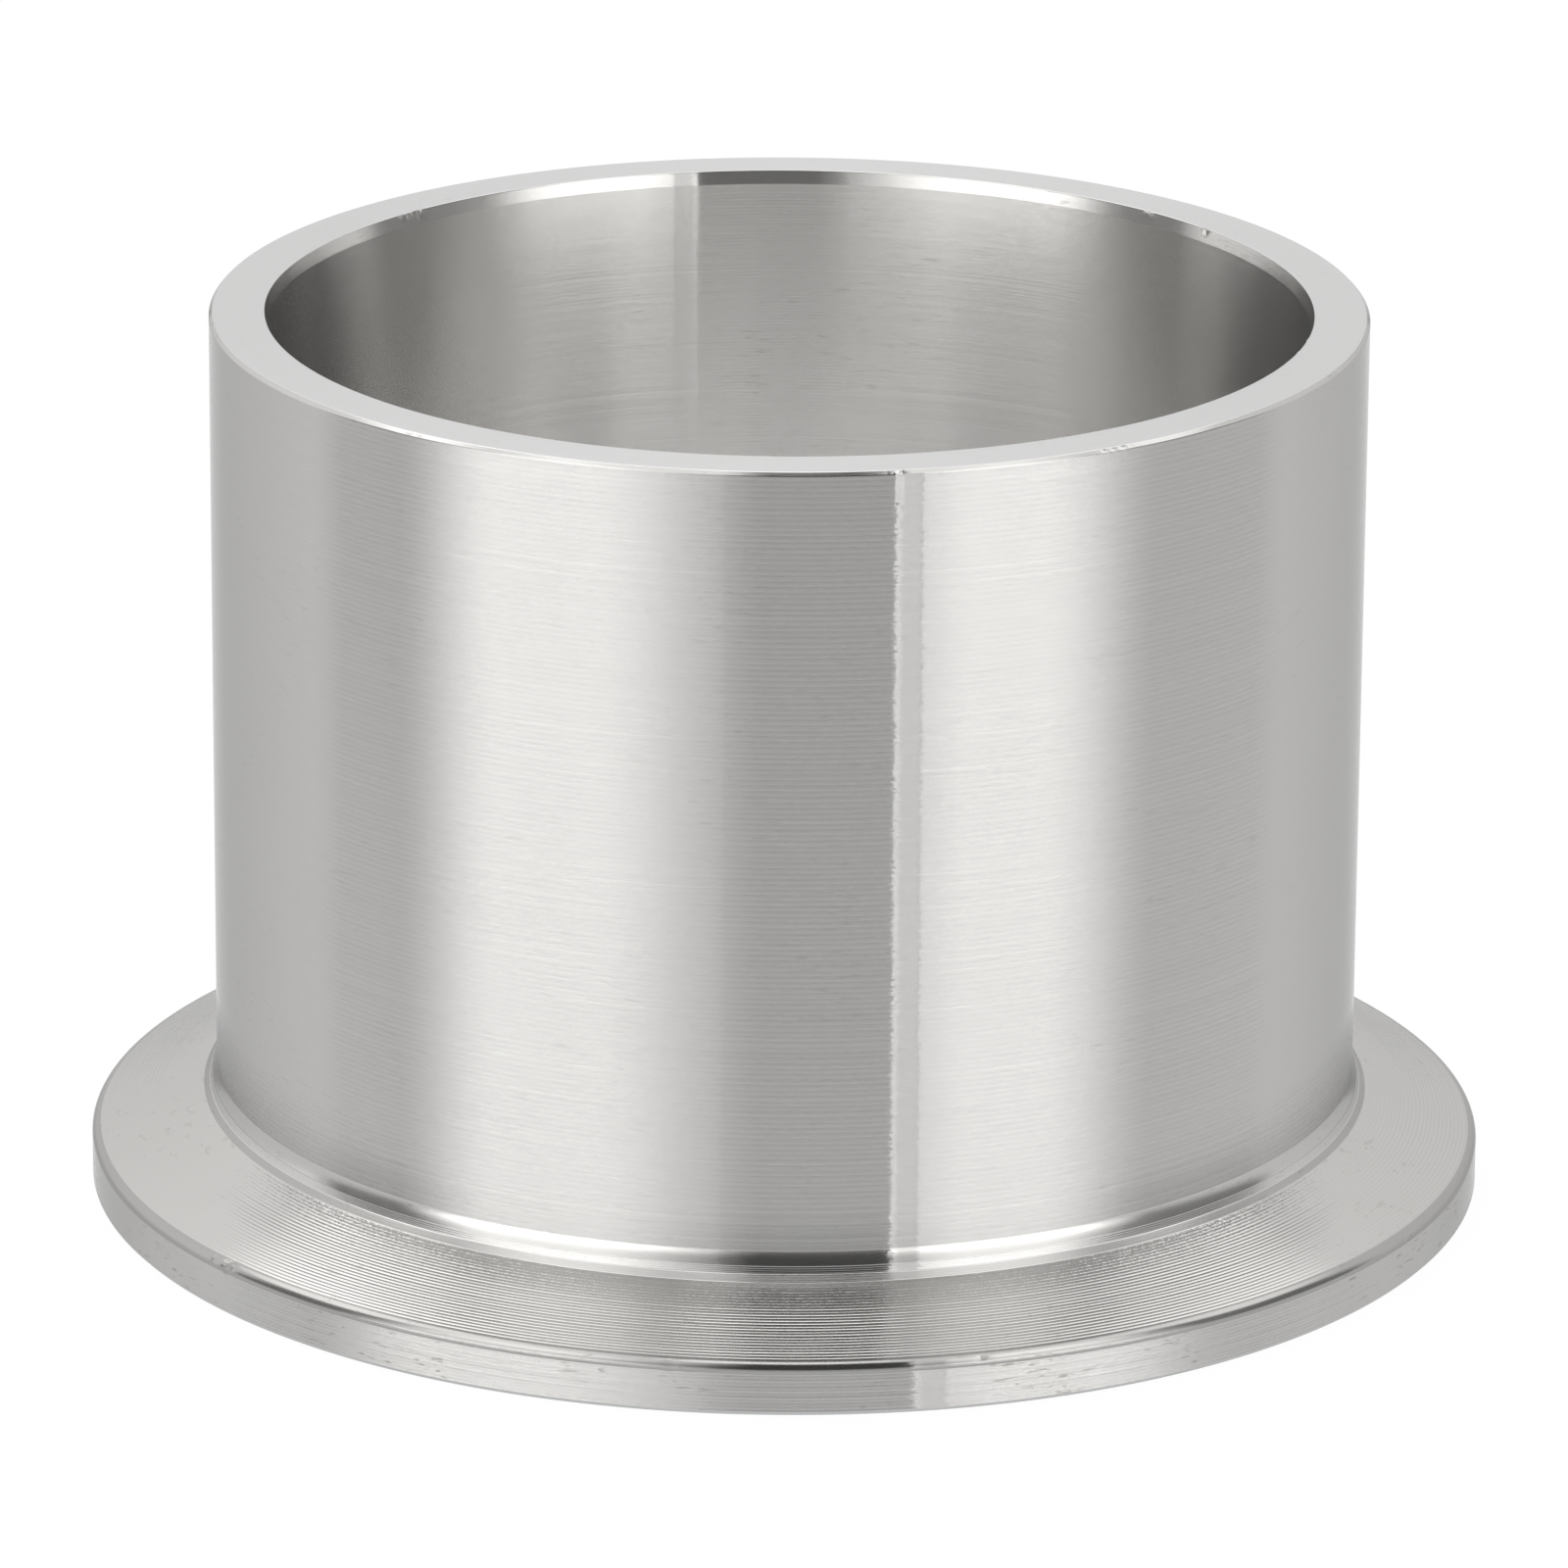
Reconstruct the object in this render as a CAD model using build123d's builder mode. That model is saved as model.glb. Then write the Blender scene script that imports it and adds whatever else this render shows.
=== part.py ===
# Sanitary weld ferrule: a thick-walled stub turned from one bar, with a clamp flange at its foot.
# A tube is butt-welded to the top end, and a clamp and a gasket join the flange to its mate below.
# The origin is the middle of the sealing face. The bore runs along +Z, and the weld end is on top.
# Everything is in millimetres and degrees.
import os
from math import radians, tan

from build123d import *

# Stub and bore
stub_diameter = 63.5
wall_thickness = 3.25
overall_length = 49.8

# Weld end: a broken outer edge, and a steep bevel that opens the bore
weld_edge_break = 0.2
bore_bevel_width = 0.2
bore_bevel_depth = 0.75

# Clamp flange: its thickness is taken at the rim, where the cone would meet the rim if it were sharp
flange_diameter = 77.5
flange_rim_thickness = 2.85
cone_angle = 20.0
flange_corner_radius = 0.5
flange_foot_break = 0.2

# Cove between the stub and the flange: it leaves the stub in a faint edge, and a narrow 45 degree land
# lies between its foot and the cone
cove_radius = 4.5
cove_width = 0.4
cove_rise = 1.19
land_width = 0.35

# Sealing face: a round-bottomed gasket groove, and a bore edge that is barely broken
groove_diameter = 70.5
groove_radius = 1.5
groove_depth = 1.2
bore_foot_break = 0.1

# Radii of the main turned faces
stub_radius = stub_diameter / 2
bore_radius = stub_radius - wall_thickness
flange_radius = flange_diameter / 2

# The section's corners, as radius and height
cove_foot_radius = stub_radius + cove_width
cone_root_radius = cove_foot_radius + land_width
cone_root_height = flange_rim_thickness + (flange_radius - cone_root_radius) * tan(radians(cone_angle))
cove_foot_height = cone_root_height + land_width

bore_foot = (bore_radius, 0)
flange_foot = (flange_radius, 0)
flange_corner = (flange_radius, flange_rim_thickness)
cone_root = (cone_root_radius, cone_root_height)
cove_foot = (cove_foot_radius, cove_foot_height)
cove_top = (stub_radius, cove_foot_height + cove_rise)
weld_edge = (stub_radius, overall_length)
bevel_mouth = (bore_radius + bore_bevel_width, overall_length)
bevel_foot = (bore_radius, overall_length - bore_bevel_depth)
groove_centre = (groove_diameter / 2, groove_depth - groove_radius)

# The whole ferrule is one section turned about the bore's axis
with BuildPart() as weld_ferrule:
    with BuildSketch(Plane.XZ) as section:
        with BuildLine():
            Polyline(cove_top, weld_edge, bevel_mouth, bevel_foot, bore_foot, flange_foot, flange_corner,
                     cone_root, cove_foot)
            RadiusArc(cove_top, cove_foot, radius=-cove_radius)
        make_face()

        # Edges that the lathe tool broke
        fillet(section.vertices().sort_by_distance(flange_corner)[0], radius=flange_corner_radius)
        chamfer(section.vertices().sort_by_distance(flange_foot)[0], length=flange_foot_break)
        chamfer(section.vertices().sort_by_distance(bore_foot)[0], length=bore_foot_break)
        chamfer(section.vertices().sort_by_distance(weld_edge)[0], length=weld_edge_break)

        # The gasket's bead sits in this groove
        with Locations(groove_centre):
            Circle(groove_radius, mode=Mode.SUBTRACT)
    revolve(axis=Axis.Z)

weld_ferrule.part.label = "weld_ferrule"

os.makedirs("parts", exist_ok=True)
export_step(weld_ferrule.part, "parts/weld_ferrule.step")
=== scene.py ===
import math
import random

import bmesh
import bpy
from mathutils import Matrix, Vector


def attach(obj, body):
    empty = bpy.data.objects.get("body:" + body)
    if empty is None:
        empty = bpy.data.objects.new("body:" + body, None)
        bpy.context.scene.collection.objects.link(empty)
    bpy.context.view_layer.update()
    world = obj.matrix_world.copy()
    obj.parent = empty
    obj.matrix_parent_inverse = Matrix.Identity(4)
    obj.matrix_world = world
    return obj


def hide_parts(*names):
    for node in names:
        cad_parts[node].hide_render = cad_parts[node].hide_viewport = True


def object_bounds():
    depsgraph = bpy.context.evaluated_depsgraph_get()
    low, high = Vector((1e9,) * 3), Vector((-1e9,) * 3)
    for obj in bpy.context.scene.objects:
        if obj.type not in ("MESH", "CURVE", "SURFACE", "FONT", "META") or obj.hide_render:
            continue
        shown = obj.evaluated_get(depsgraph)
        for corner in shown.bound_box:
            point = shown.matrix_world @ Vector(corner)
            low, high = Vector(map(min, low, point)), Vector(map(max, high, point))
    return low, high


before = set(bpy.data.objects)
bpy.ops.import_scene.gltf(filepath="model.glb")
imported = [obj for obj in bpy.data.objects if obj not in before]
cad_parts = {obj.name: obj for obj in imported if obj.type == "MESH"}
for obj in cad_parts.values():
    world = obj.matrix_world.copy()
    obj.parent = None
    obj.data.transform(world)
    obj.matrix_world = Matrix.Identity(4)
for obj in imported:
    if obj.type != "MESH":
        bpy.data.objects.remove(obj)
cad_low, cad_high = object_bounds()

mm = 0.001


# The ferrule's body
# One piece of stainless steel, turned in a lathe from a forged blank: stub, cove, flange and bore.
# Its section is drawn here as the tool cut it, corner by corner, and is then spun about the bore.
flange_radius = (cad_high.x - cad_low.x) / 2
length = cad_high.z
stub_radius = 31.75 * mm
bore_radius = 28.5 * mm

# Weld end
bevel_width = 0.2 * mm
bevel_depth = 0.75 * mm
weld_edge_break = 0.2 * mm

# Flange: the rim's height where the cone would meet it if it were sharp
rim_height = 2.85 * mm
cone_angle = math.radians(20)
flange_corner_radius = 0.5 * mm
flange_foot_break = 0.2 * mm

# Cove, the fine grooves at its foot, and the narrow land that lies between it and the cone
cove_radius = 4.5 * mm
cove_width = 0.4 * mm
cove_rise = 1.19 * mm
cove_smooth_share = 0.64
cove_steps = 9
foot_groove_steps = 12
foot_groove_depth = 0.03 * mm
land_width = 0.35 * mm

# Gasket groove in the sealing face
groove_centre_radius = 35.25 * mm
groove_radius = 1.5 * mm
groove_depth = 1.2 * mm
groove_steps = 16
bore_foot_break = 0.1 * mm

# The rings that the tool leaves at every turn: how far apart they are, and how deep at most
cone_ring_pitch = 0.115 * mm
cone_ring_depth = 0.007 * mm
rim_ring_pitch = 0.1 * mm
rim_ring_depth = 0.006 * mm
end_ring_pitch = 0.125 * mm
end_ring_depth = 0.004 * mm

# The stub and the bore are smooth, and are only cut into bands so that no face is too long
band_height = 2.5 * mm
facets_around = 360

# How hard the tool bites at the cone's root, beside 1 further out, and over what width it grows to that
cone_root_bite = 0.22
cone_bite_reach = 2.4 * mm

# A touch of emery has taken the sharpness off every edge
edge_softness = 0.05 * mm
edge_hold = 0.03 * mm

cove_foot_radius = stub_radius + cove_width
cone_root_radius = cove_foot_radius + land_width
cone_root_height = rim_height + (flange_radius - cone_root_radius) * math.tan(cone_angle)
cove_foot_height = cone_root_height + land_width
cove_top_height = cove_foot_height + cove_rise
cove_chord = math.hypot(cove_width, cove_rise)
cove_turn = 2 * math.asin(cove_chord / 2 / cove_radius)
cove_lean = math.atan2(cove_width, cove_rise) - cove_turn / 2
cove_centre = Vector((stub_radius + cove_radius * math.cos(cove_lean), 0,
                      cove_top_height + cove_radius * math.sin(cove_lean)))
groove_sink = groove_radius - groove_depth
groove_half_width = math.sqrt(groove_radius**2 - groove_sink**2)
groove_turn = 2 * math.acos(groove_sink / groove_radius)

section = bmesh.new()
run = section.verts.layers.float.new("run")
keen = section.verts.layers.float.new("keen")


def cut_to(here, radius, height):
    """The tool goes straight to a new corner of the section, and leaves an edge behind it."""
    there = bmesh.ops.extrude_vert_indiv(section, verts=[here])["verts"][0]
    there.co = (radius, 0, height)
    return there


def cut_round(here, centre_radius, centre_height, turn, steps):
    """The tool goes round a centre. A positive turn leads from the radius axis towards the bore's axis."""
    made = bmesh.ops.spin(section, geom=[here], cent=(centre_radius, 0, centre_height), axis=(0, -1, 0),
                          angle=turn, steps=steps, use_merge=False, use_normal_flip=False)
    return made["geom_last"][0]


cove_top = section.verts.new((stub_radius, 0, cove_top_height))
weld_break_foot = cut_to(cove_top, stub_radius, length - weld_edge_break)
weld_break_top = cut_to(weld_break_foot, stub_radius - weld_edge_break, length)
bevel_mouth = cut_to(weld_break_top, bore_radius + bevel_width, length)
bevel_foot = cut_to(bevel_mouth, bore_radius, length - bevel_depth)
bore_foot = cut_to(bevel_foot, bore_radius, bore_foot_break)
face_inside = cut_to(bore_foot, bore_radius + bore_foot_break, 0)
groove_inside = cut_to(face_inside, groove_centre_radius - groove_half_width, 0)
groove_outside = cut_round(groove_inside, groove_centre_radius, -groove_sink, -groove_turn, groove_steps)
foot_inside = cut_to(groove_outside, flange_radius - flange_foot_break, 0)
foot_outside = cut_to(foot_inside, flange_radius, flange_foot_break)
flange_corner = cut_to(foot_outside, flange_radius, rim_height)
cone_root = cut_to(flange_corner, cone_root_radius, cone_root_height)
cove_foot = cut_to(cone_root, cove_foot_radius, cove_foot_height)
cove_middle = cut_round(cove_top, cove_centre.x, cove_centre.z, cove_turn * cove_smooth_share, cove_steps)
cove_end = cut_round(cove_middle, cove_centre.x, cove_centre.z, cove_turn * (1 - cove_smooth_share),
                     foot_groove_steps)

# The cove's foot is cut by a worn tool point, which leaves two or three fine grooves
foot_cuts = [vert for vert in section.verts
             if cove_middle.co.z > vert.co.z > cove_end.co.z
             and abs((vert.co - cove_centre).length - cove_radius) < edge_hold]
for count, vert in enumerate(sorted(foot_cuts, key=lambda vert: -vert.co.z)):
    if count % 3 == 1:
        vert.co += (vert.co - cove_centre).normalized() * foot_groove_depth
bmesh.ops.remove_doubles(section, verts=section.verts[:], dist=0.001 * mm)


def round_off(radius, height, softness, steps):
    """The corner that is nearest to a place gets a small radius."""
    corner = min(section.verts, key=lambda vert: (vert.co - Vector((radius, 0, height))).length)
    before, after = ((edge.other_vert(corner).co - corner.co).normalized() for edge in corner.link_edges)
    turn = math.pi - before.angle(after)
    bmesh.ops.bevel(section, geom=[corner], offset=softness * math.tan(turn / 2), offset_type="OFFSET",
                    segments=steps, profile=0.5, affect="VERTICES", material=-1)


round_off(flange_radius, rim_height, flange_corner_radius, 6)
for corner in ((stub_radius, length - weld_edge_break), (stub_radius - weld_edge_break, length),
               (bore_radius + bevel_width, length), (bore_radius, length - bevel_depth),
               (bore_radius, bore_foot_break), (bore_radius + bore_foot_break, 0),
               (groove_centre_radius - groove_half_width, 0), (groove_centre_radius + groove_half_width, 0),
               (flange_radius - flange_foot_break, 0), (flange_radius, flange_foot_break),
               (cone_root_radius, cone_root_height), (cove_foot_radius, cove_foot_height),
               (stub_radius, cove_top_height)):
    round_off(*corner, edge_softness, 2)


def straight_at(radius, height):
    """The straight run of the section whose middle is nearest to a place."""
    return min(section.edges, key=lambda edge: ((edge.verts[0].co + edge.verts[1].co) / 2
                                                - Vector((radius, 0, height))).length)


# A long face stays straight right up to its rounded ends
for edge in [edge for edge in section.edges if edge.calc_length() > 4 * edge_hold]:
    for corner in tuple(edge.verts):
        bmesh.utils.edge_split(edge, corner, edge_hold / edge.calc_length())


def turn_rings(radius, height, pitch, depth, outward):
    """The tool leaves a ring at every turn of the work, and no two are quite as deep."""
    edge = straight_at(radius, height)
    steps = round(edge.calc_length() / pitch)
    made = bmesh.ops.subdivide_edges(section, edges=[edge], cuts=steps - 1)
    rings = [part for part in made["geom_inner"] if isinstance(part, bmesh.types.BMVert)]
    for vert in sorted(rings, key=lambda vert: (vert.co.x, vert.co.z)):
        vert.co -= outward * depth * lathe.random()


lathe = random.Random(31)
cone_outward = Vector((math.sin(cone_angle), 0, math.cos(cone_angle)))
turn_rings((cone_root_radius + flange_radius) / 2, (cone_root_height + rim_height) / 2,
           cone_ring_pitch, cone_ring_depth, cone_outward)
turn_rings(flange_radius, rim_height / 2, rim_ring_pitch, rim_ring_depth, Vector((1, 0, 0)))
turn_rings((stub_radius + bore_radius) / 2, length, end_ring_pitch, end_ring_depth, Vector((0, 0, 1)))
turn_rings(stub_radius, length / 2, band_height, 0, Vector((1, 0, 0)))
turn_rings(bore_radius, length / 2, band_height, 0, Vector((1, 0, 0)))

# How far each point lies along the section, from the sealing face's inner edge round to the bore's foot
face_edge = Vector((bore_radius + bore_foot_break, 0, 0))
start = min(section.verts, key=lambda vert: (vert.co - face_edge).length)
here, came_by, distance = start, None, 0.0
while distance == 0 or here != start:
    here[run] = distance / mm
    ahead = [edge for edge in here.link_edges if edge != came_by]
    came_by = max(ahead, key=lambda edge: edge.other_vert(here).co.x)
    distance += came_by.calc_length()
    here = came_by.other_vert(here)

# The tool bites ever harder as it comes down the cone, so its rings look faint at the root
for vert in section.verts:
    down_cone = (vert.co.x - cone_root_radius) / cone_bite_reach
    on_cone = down_cone >= 0 and vert.co.z > rim_height
    vert[keen] = cone_root_bite + (1 - cone_root_bite) * min(down_cone, 1) if on_cone else 1.0

# The work turns once against the tool
bmesh.ops.spin(section, geom=section.verts[:] + section.edges[:], cent=(0, 0, 0), axis=(0, 0, 1),
               angle=2 * math.pi, steps=facets_around, use_merge=True, use_normal_flip=False)
bmesh.ops.remove_doubles(section, verts=section.verts[:], dist=0.0005 * mm)
bmesh.ops.recalc_face_normals(section, faces=section.faces[:])
section.normal_update()


def nick(bearing, radius, height, reach, bite):
    """A knock on an edge: it dents the steel or, with a negative bite, pushes it up in a burr."""
    turn = math.radians(bearing)
    spot = Vector((radius * math.sin(turn), -radius * math.cos(turn), height))
    near = [edge for edge in section.edges if abs(edge.verts[0].co.z - height) < 4 * mm
            and ((edge.verts[0].co + edge.verts[1].co) / 2 - spot).length < reach + edge.calc_length() / 2]
    bmesh.ops.subdivide_edges(section, edges=near, cuts=3, use_grid_fill=True)
    struck = [vert for edge in near if edge.is_valid for vert in edge.verts]
    struck += [edge.other_vert(vert) for vert in struck for edge in vert.link_edges]
    for vert in sorted(set(struck), key=lambda vert: (vert.co.z, vert.co.x, vert.co.y)):
        fade = 1 - ((vert.co - spot).length / reach)**2
        if fade > 0:
            vert.co -= vert.normal * bite * fade * knocks.uniform(0.3, 1)
            vert.co.z = min(vert.co.z, length)


# Small burrs hang over the bore's edge, and the outer edges have been knocked in a few places.
# Each is given by its bearing in degrees from the front, its reach and its bite, both in mm.
knocks = random.Random(7)
burr_drop = 0.1 * mm
for bearing, reach, bite in ((-130.3, 0.34, -0.18), (-132.6, 0.5, -0.1), (135.0, 0.36, -0.1),
                             (125.4, 0.36, -0.09), (78.2, 0.22, -0.08), (73.2, 0.2, -0.08)):
    nick(bearing, bore_radius + bevel_width / 2, length - burr_drop, reach * mm, bite * mm)
for bearing, reach, bite in ((10.2, 0.18, -0.04), (10.7, 0.16, 0.03), (31.5, 0.17, 0.04),
                             (32.5, 0.13, 0.03), (33.6, 0.16, 0.04), (34.6, 0.12, 0.03),
                             (-82.8, 0.2, 0.06), (-78.2, 0.13, 0.04), (144.1, 0.3, 0.05)):
    nick(bearing, stub_radius - weld_edge_break / 2, length - weld_edge_break / 2, reach * mm, bite * mm)
for bearing, reach, bite in ((-8.7, 0.42, 0.012), (-50.6, 0.5, 0.07), (-52.6, 0.3, 0.05),
                             (15.6, 0.2, 0.06), (61.0, 0.3, 0.06)):
    nick(bearing, flange_radius - flange_corner_radius / 4, rim_height - flange_corner_radius / 4,
         reach * mm, bite * mm)

# Each kind of cut has a finish of its own, in this order
WALL, EDGES, LAND, CORNER, CONE, RIM, ENDS, BORE, BEVEL = range(9)
touch = 0.02 * mm


def cut_of(face):
    """Which of the lathe's cuts made this face."""
    place = face.calc_center_median()
    radius, height = math.hypot(place.x, place.y), place.z
    if height > length - touch or (height < groove_depth + touch and face.normal.z < -0.1):
        return ENDS
    if radius < bore_radius + touch and height < length - bevel_depth:
        return BORE
    if radius < bore_radius + bevel_width - touch and height > length - bevel_depth:
        return BEVEL
    if radius > flange_radius - touch and height < rim_height - flange_corner_radius:
        return RIM
    cone_foot_radius = flange_radius - flange_corner_radius
    if cone_root_radius + touch < radius < cone_foot_radius and height < cone_root_height:
        return CONE
    if (cove_foot_radius + edge_softness < radius < cone_root_radius - edge_softness
            and face.normal.z > 0.1):
        return LAND
    if radius > flange_radius - flange_corner_radius and height > rim_height - flange_corner_radius:
        return CORNER
    if abs(radius - stub_radius) < touch and cove_top_height < height < length - weld_edge_break:
        return WALL
    return EDGES


for face in section.faces:
    face.smooth = True
    face.material_index = cut_of(face)

body_mesh = bpy.data.meshes.new("ferrule_body")
section.to_mesh(body_mesh)
section.free()
body = bpy.data.objects.new("ferrule_body", body_mesh)
bpy.context.scene.collection.objects.link(body)


def wire(tree, kind, *feeds, **settings):
    """A node of a material, with what feeds its sockets in order; None leaves a socket alone."""
    node = tree.nodes.new(kind)
    for name, value in settings.items():
        setattr(node, name, value)
    for socket, feed in zip(node.inputs, feeds):
        if isinstance(feed, bpy.types.NodeSocket):
            tree.links.new(feed, socket)
        elif feed is not None:
            socket.default_value = feed
    return node


def sum_of(tree, operation, *feeds, clamp=False):
    return wire(tree, "ShaderNodeMath", *feeds, operation=operation, use_clamp=clamp).outputs[0]


def make_tool_marks():
    """The marks of the lathe's tool: rings at its feed, the finer grain inside them, and its chatter.
    The slopes are tangents and tilt the normal itself, so the marks look alike from near and far."""
    marks = bpy.data.node_groups.new("tool_marks", "ShaderNodeTree")
    for name, value in (("Rings per mm", 4.0), ("Ring slope", 0.05), ("Grain per mm", 28.0),
                        ("Grain slope", 0.4), ("Grain lean", 0.0), ("Unevenness", 0.5), ("Flecks", 0.5),
                        ("Sparkle slope", 0.0), ("Chatter slope", 0.01), ("Chatters per turn", 130.0)):
        socket = marks.interface.new_socket(name, in_out="INPUT", socket_type="NodeSocketFloat")
        socket.default_value = value
    marks.interface.new_socket("Normal", in_out="OUTPUT", socket_type="NodeSocketVector")
    marks.interface.new_socket("Streaks", in_out="OUTPUT", socket_type="NodeSocketFloat")
    entry = marks.nodes.new("NodeGroupInput").outputs
    along = wire(marks, "ShaderNodeAttribute", attribute_name="run").outputs["Fac"]
    place = marks.nodes.new("ShaderNodeTexCoord").outputs
    flat = wire(marks, "ShaderNodeVectorMath", place["Object"], (1, 1, 0), operation="MULTIPLY").outputs[0]
    around = wire(marks, "ShaderNodeVectorMath", flat, operation="NORMALIZE").outputs[0]

    def grooves(per_mm, slope, wander):
        """The slope inside round-bottomed grooves, each a little out of step and of its own depth."""
        turns = sum_of(marks, "MULTIPLY", along, per_mm)
        drift = wire(marks, "ShaderNodeTexNoise", None, turns, 0.37, 1.0,
                     noise_dimensions="1D").outputs["Fac"]
        turns = sum_of(marks, "MULTIPLY_ADD", drift, wander, turns)
        groove = sum_of(marks, "FLOOR", turns)
        own = wire(marks, "ShaderNodeTexWhiteNoise", None, groove, noise_dimensions="1D").outputs["Value"]
        own = sum_of(marks, "MULTIPLY_ADD", sum_of(marks, "SUBTRACT", own, 0.5), wander, 1.0)
        across = sum_of(marks, "MULTIPLY_ADD", sum_of(marks, "FRACT", turns), 2.0, -1.0)
        return sum_of(marks, "MULTIPLY", across, sum_of(marks, "MULTIPLY", own, slope))

    rings = grooves(entry["Rings per mm"], entry["Ring slope"], entry["Unevenness"])
    grain = grooves(entry["Grain per mm"], entry["Grain slope"], entry["Unevenness"])
    # Chatter: the tool springs a little as it cuts, so no ring is quite true all the way round
    spread = sum_of(marks, "DIVIDE", entry["Chatters per turn"], 2 * math.pi)
    reach = wire(marks, "ShaderNodeVectorMath", around, None, None, spread, operation="SCALE").outputs[0]
    thirds = sum_of(marks, "MULTIPLY", sum_of(marks, "MULTIPLY", along, 3.0), entry["Rings per mm"])
    ring = sum_of(marks, "FLOOR", thirds)
    step = wire(marks, "ShaderNodeCombineXYZ", 0.0, 0.0, sum_of(marks, "MULTIPLY", ring, 7.3)).outputs[0]
    spot = wire(marks, "ShaderNodeVectorMath", reach, step, operation="ADD").outputs[0]
    chatter = wire(marks, "ShaderNodeTexNoise", spot, None, 2.0, 4.0, 0.85,
                   noise_dimensions="3D").outputs["Fac"]
    chatter = sum_of(marks, "MULTIPLY", sum_of(marks, "SUBTRACT", chatter, 0.5), entry["Chatter slope"])

    # Flecks: short stretches where a ring is deeper or shallower
    fleck = wire(marks, "ShaderNodeTexNoise", spot, None, 5.0, 1.0, noise_dimensions="3D").outputs["Fac"]
    fleck = wire(marks, "ShaderNodeMapRange", fleck, 0.3, 0.7, -1.0, 1.0).outputs[0]
    rings = sum_of(marks, "MULTIPLY", rings, sum_of(marks, "MULTIPLY_ADD", fleck, entry["Flecks"], 1.0))
    bite = wire(marks, "ShaderNodeAttribute", attribute_name="keen").outputs["Fac"]
    slope = sum_of(marks, "MULTIPLY_ADD", rings, bite, sum_of(marks, "ADD", grain, entry["Grain lean"]))

    # Where the tool hardly bites it rubs, which leaves a sparkle of small dents
    dent = wire(marks, "ShaderNodeTexNoise", spot, None, 14.0, 1.0, noise_dimensions="3D").outputs["Fac"]
    dent = wire(marks, "ShaderNodeMapRange", dent, 0.3, 0.7, -1.0, 1.0).outputs[0]
    rubbed = sum_of(marks, "MULTIPLY", sum_of(marks, "SUBTRACT", 1.0, bite), entry["Sparkle slope"])
    slope = sum_of(marks, "MULTIPLY_ADD", dent, rubbed, slope)

    # The grooves tilt the surface along its section, and the chatter tilts it round the axis
    across_work = wire(marks, "ShaderNodeVectorMath", (0, 0, 1), around,
                       operation="CROSS_PRODUCT").outputs[0]
    down_section = wire(marks, "ShaderNodeVectorMath", place["Normal"], across_work,
                        operation="CROSS_PRODUCT").outputs[0]
    groove_tilt = wire(marks, "ShaderNodeVectorMath", down_section, None, None, slope,
                       operation="SCALE").outputs[0]
    chatter_tilt = wire(marks, "ShaderNodeVectorMath", across_work, None, None, chatter,
                        operation="SCALE").outputs[0]
    tilt = wire(marks, "ShaderNodeVectorMath", groove_tilt, chatter_tilt, operation="ADD").outputs[0]
    tilted = wire(marks, "ShaderNodeVectorMath", place["Normal"], tilt, operation="ADD").outputs[0]
    normal = wire(marks, "ShaderNodeVectorTransform", tilted, vector_type="NORMAL", convert_from="OBJECT",
                  convert_to="WORLD").outputs[0]
    normal = wire(marks, "ShaderNodeVectorMath", normal, operation="NORMALIZE").outputs[0]

    # Streaks: long faint bands that follow the rings
    slow = wire(marks, "ShaderNodeVectorMath", around, None, None, 3.0, operation="SCALE").outputs[0]
    band = wire(marks, "ShaderNodeCombineXYZ", 0.0, 0.0, sum_of(marks, "MULTIPLY", along, 2.2)).outputs[0]
    streak_spot = wire(marks, "ShaderNodeVectorMath", slow, band, operation="ADD").outputs[0]
    streaks = wire(marks, "ShaderNodeTexNoise", streak_spot, None, 1.0, 3.0,
                   noise_dimensions="3D").outputs["Fac"]
    wire(marks, "NodeGroupOutput", normal, streaks)
    return marks


tool_marks = make_tool_marks()


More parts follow.
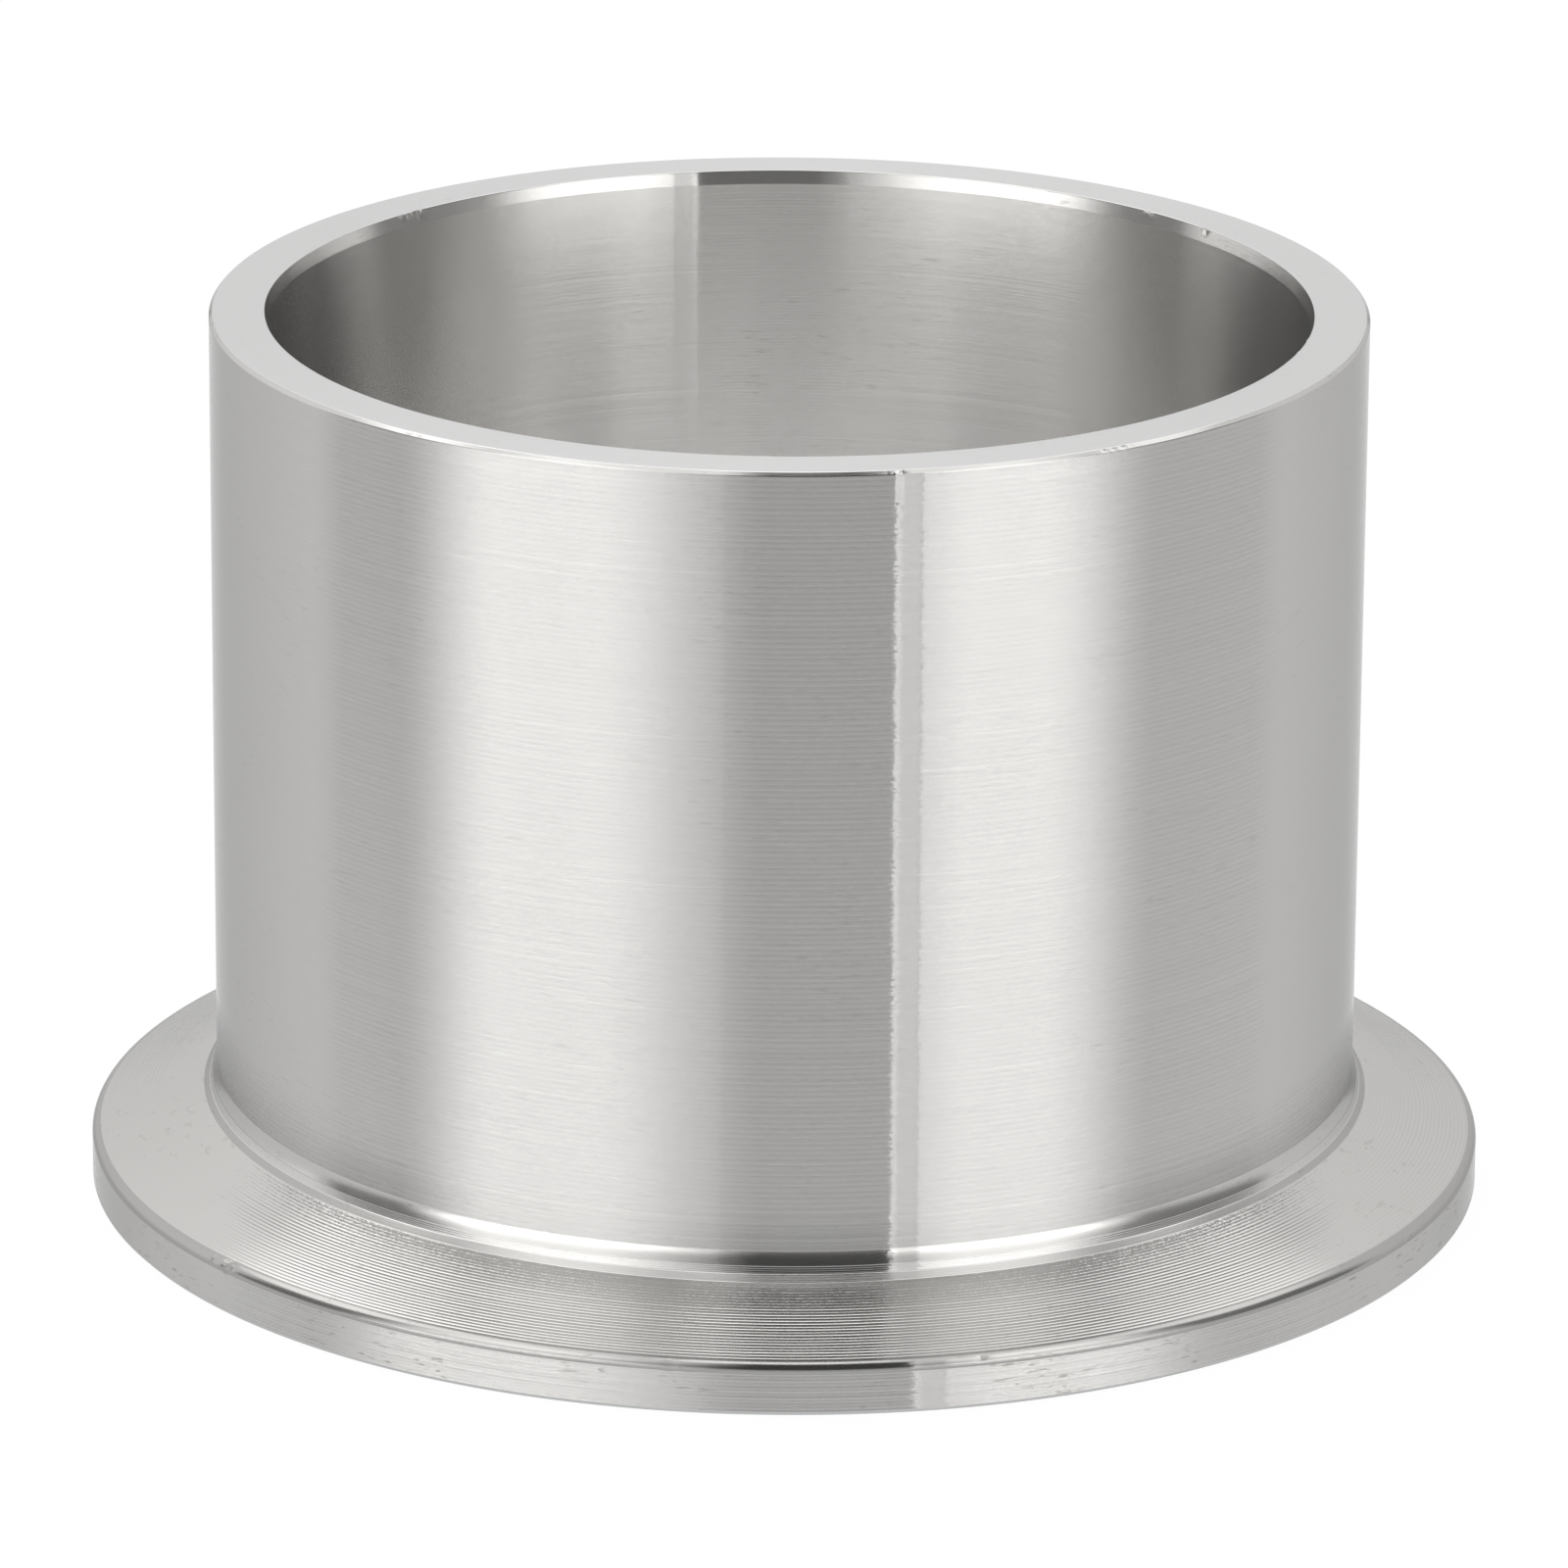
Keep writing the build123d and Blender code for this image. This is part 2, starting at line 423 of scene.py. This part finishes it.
def make_handling():
    """What handling leaves on bare steel: faint smudges, specks along the rings, and fine scratches."""
    handling = bpy.data.node_groups.new("handling", "ShaderNodeTree")
    for name, value in (("Smudge size mm", 6.0), ("Scratches", 0.5), ("Soiling", 0.5)):
        socket = handling.interface.new_socket(name, in_out="INPUT", socket_type="NodeSocketFloat")
        socket.default_value = value
    for name in ("Smudge", "Speck", "Scratch"):
        handling.interface.new_socket(name, in_out="OUTPUT", socket_type="NodeSocketFloat")
    entry = handling.nodes.new("NodeGroupInput").outputs
    place = handling.nodes.new("ShaderNodeTexCoord").outputs["Object"]
    in_mm = wire(handling, "ShaderNodeVectorMath", place, None, None, 1000.0, operation="SCALE").outputs[0]
    scale = sum_of(handling, "DIVIDE", 1.0, entry["Smudge size mm"])
    smudge = wire(handling, "ShaderNodeTexNoise", in_mm, None, scale, 4.0, 0.6,
                  noise_dimensions="3D").outputs["Fac"]
    smudge = wire(handling, "ShaderNodeMapRange", smudge, 0.42, 0.72, 0.0, 1.0).outputs[0]
    smudge = sum_of(handling, "MULTIPLY", smudge, entry["Soiling"])

    drawn_out = wire(handling, "ShaderNodeVectorMath", in_mm, (0.9, 0.9, 5.0),
                     operation="MULTIPLY").outputs[0]
    speck = wire(handling, "ShaderNodeTexNoise", drawn_out, None, 1.0, 2.0, 0.6,
                 noise_dimensions="3D").outputs["Fac"]
    speck = wire(handling, "ShaderNodeMapRange", speck, 0.61, 0.68, 0.0, 1.0).outputs[0]
    patch = wire(handling, "ShaderNodeTexNoise", in_mm, None, 0.16, 1.0,
                 noise_dimensions="3D").outputs["Fac"]
    patch = wire(handling, "ShaderNodeMapRange", patch, 0.47, 0.57, 0.0, 1.0).outputs[0]
    speck = sum_of(handling, "MULTIPLY", sum_of(handling, "MULTIPLY", speck, patch), entry["Soiling"])

    tilt = wire(handling, "ShaderNodeMapping", in_mm, None, (0.3, 0.2, 0.9), (0.06, 1.7, 1.7)).outputs[0]
    cells = wire(handling, "ShaderNodeTexVoronoi", tilt, feature="DISTANCE_TO_EDGE").outputs["Distance"]
    line = wire(handling, "ShaderNodeMapRange", cells, 0.0, 0.02, 1.0, 0.0).outputs[0]
    gate = wire(handling, "ShaderNodeTexNoise", in_mm, None, 0.12, 2.0,
                noise_dimensions="3D").outputs["Fac"]
    gate = wire(handling, "ShaderNodeMapRange", gate, 0.55, 0.7, 0.0, 1.0).outputs[0]
    scratch = sum_of(handling, "MULTIPLY", sum_of(handling, "MULTIPLY", line, gate), entry["Scratches"])
    wire(handling, "NodeGroupOutput", smudge, speck, scratch)
    return handling


handling = make_handling()

# The steel's colour is painted darker on the narrow cuts, as painted shade, and lighter on the end faces,
# in the bore and on its bevel, as painted light.
# That painted light stands in for light that the back wall and the bounces inside the bore give too little
# of.
steel_colour = (0.478, 0.474, 0.467)
bore_painted_light_colour = (0.66, 0.654, 0.643)
bevel_painted_light_colour = (0.58, 0.574, 0.565)
narrow_painted_shade_colour = (0.35, 0.347, 0.341)
end_painted_light_colour = (0.565, 0.567, 0.571)
film_colour = (0.94, 0.93, 0.915)
speck_colour = (0.6, 0.58, 0.55)

# How much duller the steel is in a streak, under a speck and in a scratch
streak_dullness = 0.02
speck_dullness = 0.25
scratch_dullness = 0.1


def turned_steel(name, colour=steel_colour, edge_tint=0.66, rings_per_mm=5.0, ring_slope=1.0, flecks=0.5,
                 sparkle_slope=0.0, grain_slope=0.0, grain_lean=0.0, unevenness=0.3, chatter_slope=1.0,
                 roughness=0.1, directed=1.0, soiling=0.3, metal_share=1.0):
    """Bare stainless steel as one cut left it. Slopes are in degrees. Light spreads across the rings,
    and hardly along them."""
    steel = bpy.data.materials.new(name)
    steel.use_nodes = True
    tree = steel.node_tree
    shader = tree.nodes["Principled BSDF"]
    marks = wire(tree, "ShaderNodeGroup", node_tree=tool_marks)
    marks.inputs["Rings per mm"].default_value = rings_per_mm
    marks.inputs["Ring slope"].default_value = math.tan(math.radians(ring_slope))
    marks.inputs["Flecks"].default_value = flecks
    marks.inputs["Sparkle slope"].default_value = math.tan(math.radians(sparkle_slope))
    marks.inputs["Grain slope"].default_value = math.tan(math.radians(grain_slope))
    marks.inputs["Grain lean"].default_value = math.tan(math.radians(grain_lean))
    marks.inputs["Unevenness"].default_value = unevenness
    marks.inputs["Chatter slope"].default_value = math.tan(math.radians(chatter_slope))
    worn = wire(tree, "ShaderNodeGroup", node_tree=handling)
    worn.inputs["Soiling"].default_value = soiling
    colour_now = (*colour, 1)
    for mask, over in (("Smudge", film_colour), ("Speck", speck_colour)):
        layer = wire(tree, "ShaderNodeMix", data_type="RGBA", blend_type="MULTIPLY")
        tree.links.new(worn.outputs[mask], layer.inputs[0])
        if isinstance(colour_now, bpy.types.NodeSocket):
            tree.links.new(colour_now, layer.inputs[6])
        else:
            layer.inputs[6].default_value = colour_now
        layer.inputs[7].default_value = (*over, 1)
        colour_now = layer.outputs[2]
    tree.links.new(colour_now, shader.inputs["Base Color"])
    dull = sum_of(tree, "MULTIPLY_ADD", marks.outputs["Streaks"], streak_dullness, roughness)
    dull = sum_of(tree, "MULTIPLY_ADD", worn.outputs["Speck"], speck_dullness, dull)
    dull = sum_of(tree, "MULTIPLY_ADD", worn.outputs["Scratch"], scratch_dullness, dull)
    tree.links.new(dull, shader.inputs["Roughness"])
    tree.links.new(marks.outputs["Normal"], shader.inputs["Normal"])
    shader.inputs["Metallic"].default_value = metal_share
    shader.inputs["Specular Tint"].default_value = (edge_tint, edge_tint, edge_tint, 1)
    shader.inputs["Anisotropic"].default_value = directed
    shader.inputs["Anisotropic Rotation"].default_value = 0.25
    return steel


# The land and the corner take the darker colour, which is painted shade. The ends, the bore and the bevel
# take the lighter colours, which are painted light.
for steel in (
    turned_steel("turned_wall", rings_per_mm=3.3, ring_slope=1.6, flecks=0.8, grain_slope=14.0,
                 grain_lean=4.0, unevenness=0.2, chatter_slope=1.8, roughness=0.07, soiling=0.12),
    turned_steel("smooth_edges", rings_per_mm=9.0, ring_slope=0.6, unevenness=0.6, chatter_slope=2.8),
    turned_steel("turned_land", colour=narrow_painted_shade_colour, rings_per_mm=7.0, ring_slope=5.0, flecks=0.3,
                 grain_slope=12.0, chatter_slope=1.5, roughness=0.14),
    turned_steel("turned_corner", colour=narrow_painted_shade_colour, rings_per_mm=7.0, ring_slope=3.5, flecks=0.3,
                 grain_slope=5.0, chatter_slope=1.4, roughness=0.12),
    turned_steel("turned_cone", rings_per_mm=4.35, ring_slope=16.0, flecks=0.0, sparkle_slope=8.0,
                 grain_slope=3.0, unevenness=0.2, chatter_slope=0.3, roughness=0.15, directed=0.6,
                 soiling=0.25),
    turned_steel("turned_rim", rings_per_mm=5.2, ring_slope=3.0, grain_slope=14.0, grain_lean=4.0,
                 chatter_slope=2.4, roughness=0.08, soiling=0.7),
    turned_steel("turned_ends", colour=end_painted_light_colour, rings_per_mm=6.0, ring_slope=0.8, grain_slope=3.0,
                 roughness=0.34, directed=0.4, soiling=0.1),
    turned_steel("turned_bore", colour=bore_painted_light_colour, edge_tint=0.86, ring_slope=1.3, grain_slope=17.0,
                 unevenness=0.15, chatter_slope=1.6, metal_share=0.92),
    turned_steel("turned_bevel", colour=bevel_painted_light_colour, edge_tint=0.86, grain_slope=8.0, chatter_slope=1.6,
                 metal_share=0.9),
):
    body_mesh.materials.append(steel)

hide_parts("weld_ferrule")
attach(body, "root")


# The floor
# A sheet of white board, much wider than the view, that the ferrule stands on by its sealing face.
# The camera and the metal's mirror see it as plain white, apart from the ferrule's own soft shadow.
floor_reach = 3.0
floor_gap = 0.01 * mm
glow_share = 0.96
sheet = bmesh.new()
bmesh.ops.create_grid(sheet, x_segments=1, y_segments=1, size=floor_reach,
                      matrix=Matrix.Translation((0, 0, -floor_gap)), calc_uvs=True)
floor_mesh = bpy.data.meshes.new("floor")
sheet.to_mesh(floor_mesh)
sheet.free()
floor = bpy.data.objects.new("floor", floor_mesh)
bpy.context.scene.collection.objects.link(floor)
board = bpy.data.materials.new("white_board")
board.use_nodes = True
tree = board.node_tree
tree.nodes.remove(tree.nodes["Principled BSDF"])
seen = wire(tree, "ShaderNodeLightPath").outputs
white = sum_of(tree, "ADD", sum_of(tree, "ADD", seen["Is Camera Ray"], seen["Is Glossy Ray"]),
               seen["Is Transmission Ray"], clamp=True)
pulp = wire(tree, "ShaderNodeTexNoise", wire(tree, "ShaderNodeTexCoord").outputs["Object"], None,
            900.0, 3.0)
pale = wire(tree, "ShaderNodeMapRange", pulp.outputs["Fac"], 0.3, 0.7, 0.86, 0.9).outputs[0]
paper = wire(tree, "ShaderNodeBsdfDiffuse", pale)
glow = wire(tree, "ShaderNodeEmission", (1, 1, 1, 1), 1.0)
share = wire(tree, "ShaderNodeMixShader", sum_of(tree, "MULTIPLY", white, glow_share),
             paper.outputs[0], glow.outputs[0])
tree.links.new(share.outputs[0], tree.nodes["Material Output"].inputs["Surface"])
floor_mesh.materials.append(board)


# The studio
# Two tall soft boxes stand left and right of the camera, with a dark room between them and to their
# sides. A pale wall closes the room behind the ferrule, and light comes down from the ceiling.
box_lean = 0.949
room_light = 0.1
back_wall_light = 1.3
ceiling_light = 1.5
studio = bpy.data.worlds.new("studio")
bpy.context.scene.world = studio
studio.use_nodes = True
tree = studio.node_tree
look = wire(tree, "ShaderNodeSeparateXYZ", wire(tree, "ShaderNodeTexCoord").outputs["Generated"]).outputs

# Where a ray goes: its rise above the floor, and its bearing from the camera's side, in degrees
rise = sum_of(tree, "DEGREES", sum_of(tree, "ARCSINE", look["Z"]))
level = sum_of(tree, "COSINE", sum_of(tree, "ARCSINE", look["Z"]))
towards = sum_of(tree, "MULTIPLY", look["Y"], -1.0)


def ramp(value, begin, end, top=1.0):
    """From nothing at the first angle to the full light at the second."""
    if begin < end:
        return wire(tree, "ShaderNodeMapRange", value, begin, end, 0.0, top,
                    interpolation_type="SMOOTHSTEP").outputs[0]
    return wire(tree, "ShaderNodeMapRange", value, end, begin, top, 0.0,
                interpolation_type="SMOOTHSTEP").outputs[0]


def light_field(*edges):
    """A patch of light: what all of its soft edges let through."""
    field = edges[0]
    for edge in edges[1:]:
        field = sum_of(tree, "MULTIPLY", field, edge)
    return field


# The boxes' sides lean together over the camera, so their bearing is taken from a bent grid in front
bent = sum_of(tree, "MULTIPLY_ADD", ramp(towards, 0.05, 0.35), sum_of(tree, "SUBTRACT", box_lean, level),
              level)
bearing = sum_of(tree, "ARCTAN2", look["X"], sum_of(tree, "ADD", bent, towards))
bearing = sum_of(tree, "DEGREES", sum_of(tree, "MULTIPLY", bearing, 2.0))
beside = sum_of(tree, "ABSOLUTE", bearing)

# The boxes are brightest at their foot, and brighter again towards their top
box_height = sum_of(tree, "ADD", sum_of(tree, "ADD", ramp(rise, 76, 60, 1.5), ramp(rise, 52, 30, 0.2)),
                    ramp(rise, 9, 2, 4.0))
box_height = sum_of(tree, "ADD", box_height, light_field(ramp(rise, 35, 50), ramp(rise, 67, 55), 1.5))

# The right box shows its frame on the side of the gap, with a thin bright strip at the very edge
right_frame = light_field(ramp(bearing, 20.8, 21.2), ramp(bearing, 26.2, 26.0), box_height,
                          sum_of(tree, "ADD", 0.49, ramp(bearing, 22.3, 21.9, 0.26)))
right_box = light_field(ramp(bearing, 26.0, 26.6), sum_of(tree, "ADD", 0.74, ramp(bearing, 25, 37, 0.26)),
                        ramp(bearing, 82, 50), box_height)

# The left box fades out towards the gap, and stops there in a faint step
left_step = light_field(ramp(bearing, -12.0, -12.8), ramp(bearing, -24, -13, 0.05))
left_box = light_field(sum_of(tree, "ADD", ramp(bearing, -1, -40), left_step), ramp(bearing, -85, -58),
                       box_height)

# The dark room beside the boxes has a faint glow, and the pale wall begins beyond it
side_glow = light_field(ramp(beside, 60, 80), ramp(rise, -1, 2, 0.32))
right_tail = light_field(ramp(bearing, 40, 76), ramp(bearing, 98, 74, 0.4))
far_right = light_field(ramp(bearing, 84, 108), ramp(bearing, 176, 150), 0.15)
pale_sides = sum_of(tree, "MAXIMUM", ramp(bearing, -91, -107), ramp(bearing, 98, 114))
pale_wall = light_field(pale_sides, ramp(rise, -1, 1), sum_of(tree, "SUBTRACT", back_wall_light, far_right))

# The ceiling is lit all over but above the gap, with brighter boxes at the back and one light on top
above_gap = light_field(ramp(bearing, -16, -2), ramp(bearing, 24, 19), ramp(rise, 83, 76))
ceiling = light_field(ramp(rise, 42, 60), sum_of(tree, "SUBTRACT", 1.0, above_gap), ceiling_light)
top_boxes = light_field(ramp(beside, 78, 100), ramp(rise, 32, 46), ramp(rise, 86, 74),
                        wire(tree, "ShaderNodeMapRange", bearing, -20.0, 20.0, 2.35, 1.9).outputs[0])
top_light = ramp(rise, 76, 82, 2.9)
room = right_tail
for light in (room_light, ceiling, top_light, top_boxes, side_glow, right_frame, right_box, left_box,
              pale_wall):
    room = sum_of(tree, "MAXIMUM", room, light)
tree.links.new(room, tree.nodes["Background"].inputs["Strength"])
tree.nodes["Background"].inputs["Color"].default_value = (1, 0.995, 0.985, 1)


# The camera
# A long lens, looking down on the ferrule from a little over half a metre away.
lens = bpy.data.cameras.new("camera")
lens.lens = 242.7244
lens.sensor_width = 36
lens.clip_start = 0.05
lens.clip_end = 12
camera = bpy.data.objects.new("camera", lens)
bpy.context.scene.collection.objects.link(camera)
yaw, pitch, roll = (math.radians(angle) for angle in (-0.01377, 18.3525, -0.37085))
forward = Vector((math.sin(yaw) * math.cos(pitch), math.cos(yaw) * math.cos(pitch), -math.sin(pitch)))
level_right = Vector((math.cos(yaw), -math.sin(yaw), 0))
level_down = forward.cross(level_right)
right = level_right * math.cos(roll) + level_down * math.sin(roll)
down = level_down * math.cos(roll) - level_right * math.sin(roll)
camera.matrix_world = (Matrix.Translation((0, -557.223 * mm, 207.126 * mm))
                       @ Matrix((right, -down, -forward)).transposed().to_4x4())
bpy.context.scene.camera = camera
bpy.context.scene.view_settings.view_transform = "Standard"
